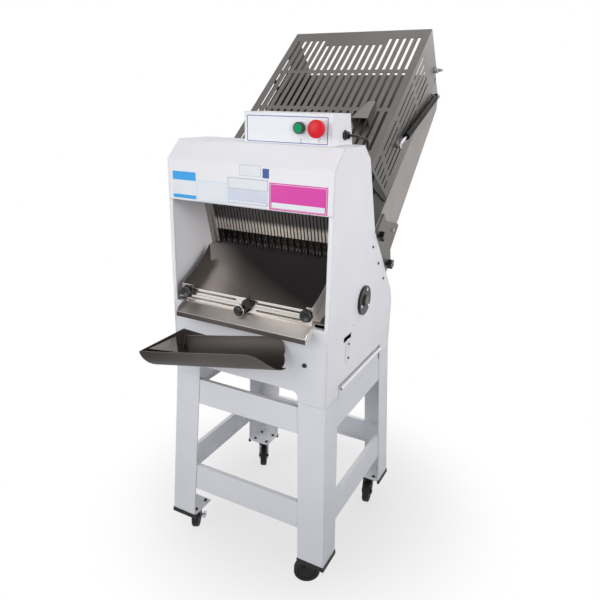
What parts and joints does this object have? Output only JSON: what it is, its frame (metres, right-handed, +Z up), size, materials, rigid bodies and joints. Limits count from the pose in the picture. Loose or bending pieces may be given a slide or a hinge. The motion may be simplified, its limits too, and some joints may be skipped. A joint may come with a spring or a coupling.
{
  "type": "bread slicer machine",
  "caption": "Floor-standing gravity-feed bread slicer on a splayed caster stand, with hinged slotted infeed cover, reciprocating blade frames, bag scoop and crumb tray.",
  "frame": {"origin": "centre of the bounding box footprint, on the floor under the wheels", "axes": "+Z up, +X to the machine's right seen from the front, -Y toward the operator at the discharge side"},
  "size_m": [0.5592, 1.053, 1.647],
  "materials": {
    "white_enamel": "powder coated",
    "cover_grey": "satin dark grey",
    "stainless": "brushed",
    "dark_stainless": "worn",
    "polished_steel": "polished",
    "zinc": "zinc plated",
    "blade_steel": "bright",
    "black_rubber": "matte",
    "black_plastic": "satin",
    "black_iron": "painted black",
    "motor_grey": "grey paint",
    "panel_white": "printed film",
    "green_plastic": "gloss",
    "red_plastic": "gloss"
  },
  "bodies": {
    "machine": {"front_legs": "white_enamel", "rear_legs": "white_enamel", "leg_trims": "black_rubber", "upper_rails": "white_enamel", "lower_rails": "white_enamel", "caster_brackets": "white_enamel", "caster_plates": "zinc", "side_panel_left": "white_enamel", "side_panel_right": "white_enamel", "front_hood": "white_enamel", "front_apron": "white_enamel", "rear_panel": "white_enamel", "bearing_flanges": "black_iron", "control_box": "white_enamel", "control_panel": "panel_white", "button_bezels": "black_plastic", "cable_gland": "black_plastic", "control_cable": "black_rubber", "upper_comb": "stainless", "frame_guides": "stainless", "drive_belt": "black_rubber", "motor": "motor_grey", "discharge_chute": "stainless", "slotted_bars": "polished_steel", "clamp_knobs": "black_plastic", "bagging_shelf": "polished_steel", "bag_scoop": "dark_stainless", "infeed_floor": "stainless", "infeed_sides": "stainless", "infeed_brackets": "stainless", "hinge_pins": "zinc"},
    "caster_fl": {"caster_fork_fl": "zinc"},
    "wheel_fl": {"caster_wheel_fl": "black_rubber"},
    "lock_fl": {"caster_lock_fl": "zinc"},
    "caster_fr": {"caster_fork_fr": "zinc"},
    "wheel_fr": {"caster_wheel_fr": "black_rubber"},
    "lock_fr": {"caster_lock_fr": "zinc"},
    "caster_rl": {"caster_fork_rl": "zinc"},
    "wheel_rl": {"caster_wheel_rl": "black_rubber"},
    "caster_rr": {"caster_fork_rr": "zinc"},
    "wheel_rr": {"caster_wheel_rr": "black_rubber"},
    "crumb_tray": {"crumb_tray": "white_enamel"},
    "start_button": {"start_button": "green_plastic"},
    "stop_button": {"stop_button": "red_plastic"},
    "blade_frame_front": {"blade_frame_front": "stainless", "front_blades": "blade_steel"},
    "blade_frame_rear": {"blade_frame_rear": "stainless", "rear_blades": "blade_steel"},
    "drive_shaft": {"drive_shaft": "zinc"},
    "motor_pulley": {"motor_pulley": "zinc"},
    "left_guide": {"left_guide": "stainless"},
    "left_knob": {"left_guide_knob": "black_plastic"},
    "right_guide": {"right_guide": "stainless"},
    "right_knob": {"right_guide_knob": "black_plastic"},
    "cover": {"cover_top": "cover_grey", "cover_sides": "cover_grey", "cover_pull": "cover_grey"},
    "gas_tube": {"gas_tube": "black_plastic"},
    "gas_rod": {"gas_rod": "zinc"}
  },
  "joints": [
    {"name": "swivel_fl", "type": "hinge", "parent": "machine", "child": "caster_fl", "pos_m": [-0.22807, -0.35904, 0.09], "axis": [0, 0, 1], "continuous": true},
    {"name": "roll_fl", "type": "hinge", "parent": "caster_fl", "child": "wheel_fl", "pos_m": [-0.23934, -0.33785, 0.04], "axis": [-0.8829, -0.4695, 0], "continuous": true},
    {"name": "lock_turn_fl", "type": "hinge", "parent": "caster_fl", "child": "lock_fl", "pos_m": [-0.23934, -0.33785, 0.04], "axis": [-0.8829, -0.4695, 0], "range_deg": [0, 90]},
    {"name": "swivel_fr", "type": "hinge", "parent": "machine", "child": "caster_fr", "pos_m": [0.22807, -0.35904, 0.09], "axis": [0, 0, 1], "continuous": true},
    {"name": "roll_fr", "type": "hinge", "parent": "caster_fr", "child": "wheel_fr", "pos_m": [0.20688, -0.3703, 0.04], "axis": [0.4695, -0.8829, 0], "continuous": true},
    {"name": "lock_turn_fr", "type": "hinge", "parent": "caster_fr", "child": "lock_fr", "pos_m": [0.20688, -0.3703, 0.04], "axis": [0.4695, -0.8829, 0], "range_deg": [0, 90]},
    {"name": "swivel_rl", "type": "hinge", "parent": "machine", "child": "caster_rl", "pos_m": [-0.22807, 0.10111, 0.09], "axis": [0, 0, 1], "continuous": true},
    {"name": "roll_rl", "type": "hinge", "parent": "caster_rl", "child": "wheel_rl", "pos_m": [-0.2168, 0.07991, 0.04], "axis": [0.8829, 0.4695, 0], "continuous": true},
    {"name": "swivel_rr", "type": "hinge", "parent": "machine", "child": "caster_rr", "pos_m": [0.22807, 0.10111, 0.09], "axis": [0, 0, 1], "continuous": true},
    {"name": "roll_rr", "type": "hinge", "parent": "caster_rr", "child": "wheel_rr", "pos_m": [0.23224, 0.07747, 0.04], "axis": [0.9848, 0.1736, 0], "continuous": true},
    {"name": "tray_slide", "type": "slide", "parent": "machine", "child": "crumb_tray", "axis": [1, 0, 0], "range_m": [0, 0.42]},
    {"name": "start_press", "type": "slide", "parent": "machine", "child": "start_button", "axis": [0, 1, 0], "range_m": [0, 0.004], "stiffness_N_per_m": 600, "springref_m": -0.004},
    {"name": "stop_press", "type": "slide", "parent": "machine", "child": "stop_button", "axis": [0, 1, 0], "range_m": [0, 0.005], "stiffness_N_per_m": 800, "springref_m": -0.004},
    {"name": "rear_frame_stroke", "type": "slide", "parent": "machine", "child": "blade_frame_rear", "axis": [0, -0.2588, 0.9659], "range_m": [0, 0.032]},
    {"name": "front_frame_stroke", "type": "slide", "parent": "machine", "child": "blade_frame_front", "axis": [0, -0.2588, 0.9659], "range_m": [-0.032, 0]},
    {"name": "shaft_spin", "type": "hinge", "parent": "machine", "child": "drive_shaft", "pos_m": [0, -0.14297, 0.862], "axis": [1, 0, 0], "continuous": true},
    {"name": "motor_spin", "type": "hinge", "parent": "machine", "child": "motor_pulley", "pos_m": [0, 0.01503, 0.73405], "axis": [1, 0, 0], "continuous": true},
    {"name": "left_guide_slide", "type": "slide", "parent": "machine", "child": "left_guide", "axis": [1, 0, 0], "range_m": [0, 0.135]},
    {"name": "left_knob_turn", "type": "hinge", "parent": "left_guide", "child": "left_knob", "pos_m": [-0.195, -0.38497, 0.883], "axis": [0, 1, 0], "continuous": true},
    {"name": "right_guide_slide", "type": "slide", "parent": "machine", "child": "right_guide", "axis": [-1, 0, 0], "range_m": [0, 0.135]},
    {"name": "right_knob_turn", "type": "hinge", "parent": "right_guide", "child": "right_knob", "pos_m": [0.193, -0.38497, 0.883], "axis": [0, 1, 0], "continuous": true},
    {"name": "cover_hinge", "type": "hinge", "parent": "machine", "child": "cover", "pos_m": [0, 0.4339, 1.52485], "axis": [-1, 0, 0], "range_deg": [0, 40]},
    {"name": "gas_tube_swing", "type": "hinge", "parent": "machine", "child": "gas_tube", "pos_m": [0.262, 0.43688, 1.4393], "axis": [-1, 0, 0], "range_deg": [0, 40.5]},
    {"name": "gas_rod_slide", "type": "slide", "parent": "gas_tube", "child": "gas_rod", "axis": [0, -0.9303, -0.3667], "range_m": [0, 0.059]}
  ],
  "couplings": [
    {"joint": "front_frame_stroke", "follows": "rear_frame_stroke", "ratio": -1},
    {"joint": "motor_spin", "follows": "shaft_spin", "ratio": 2},
    {"joint": "gas_tube_swing", "follows": "cover_hinge", "ratio": 1.0098},
    {"joint": "gas_rod_slide", "follows": "cover_hinge", "m_per_rad": 0.084}
  ]
}
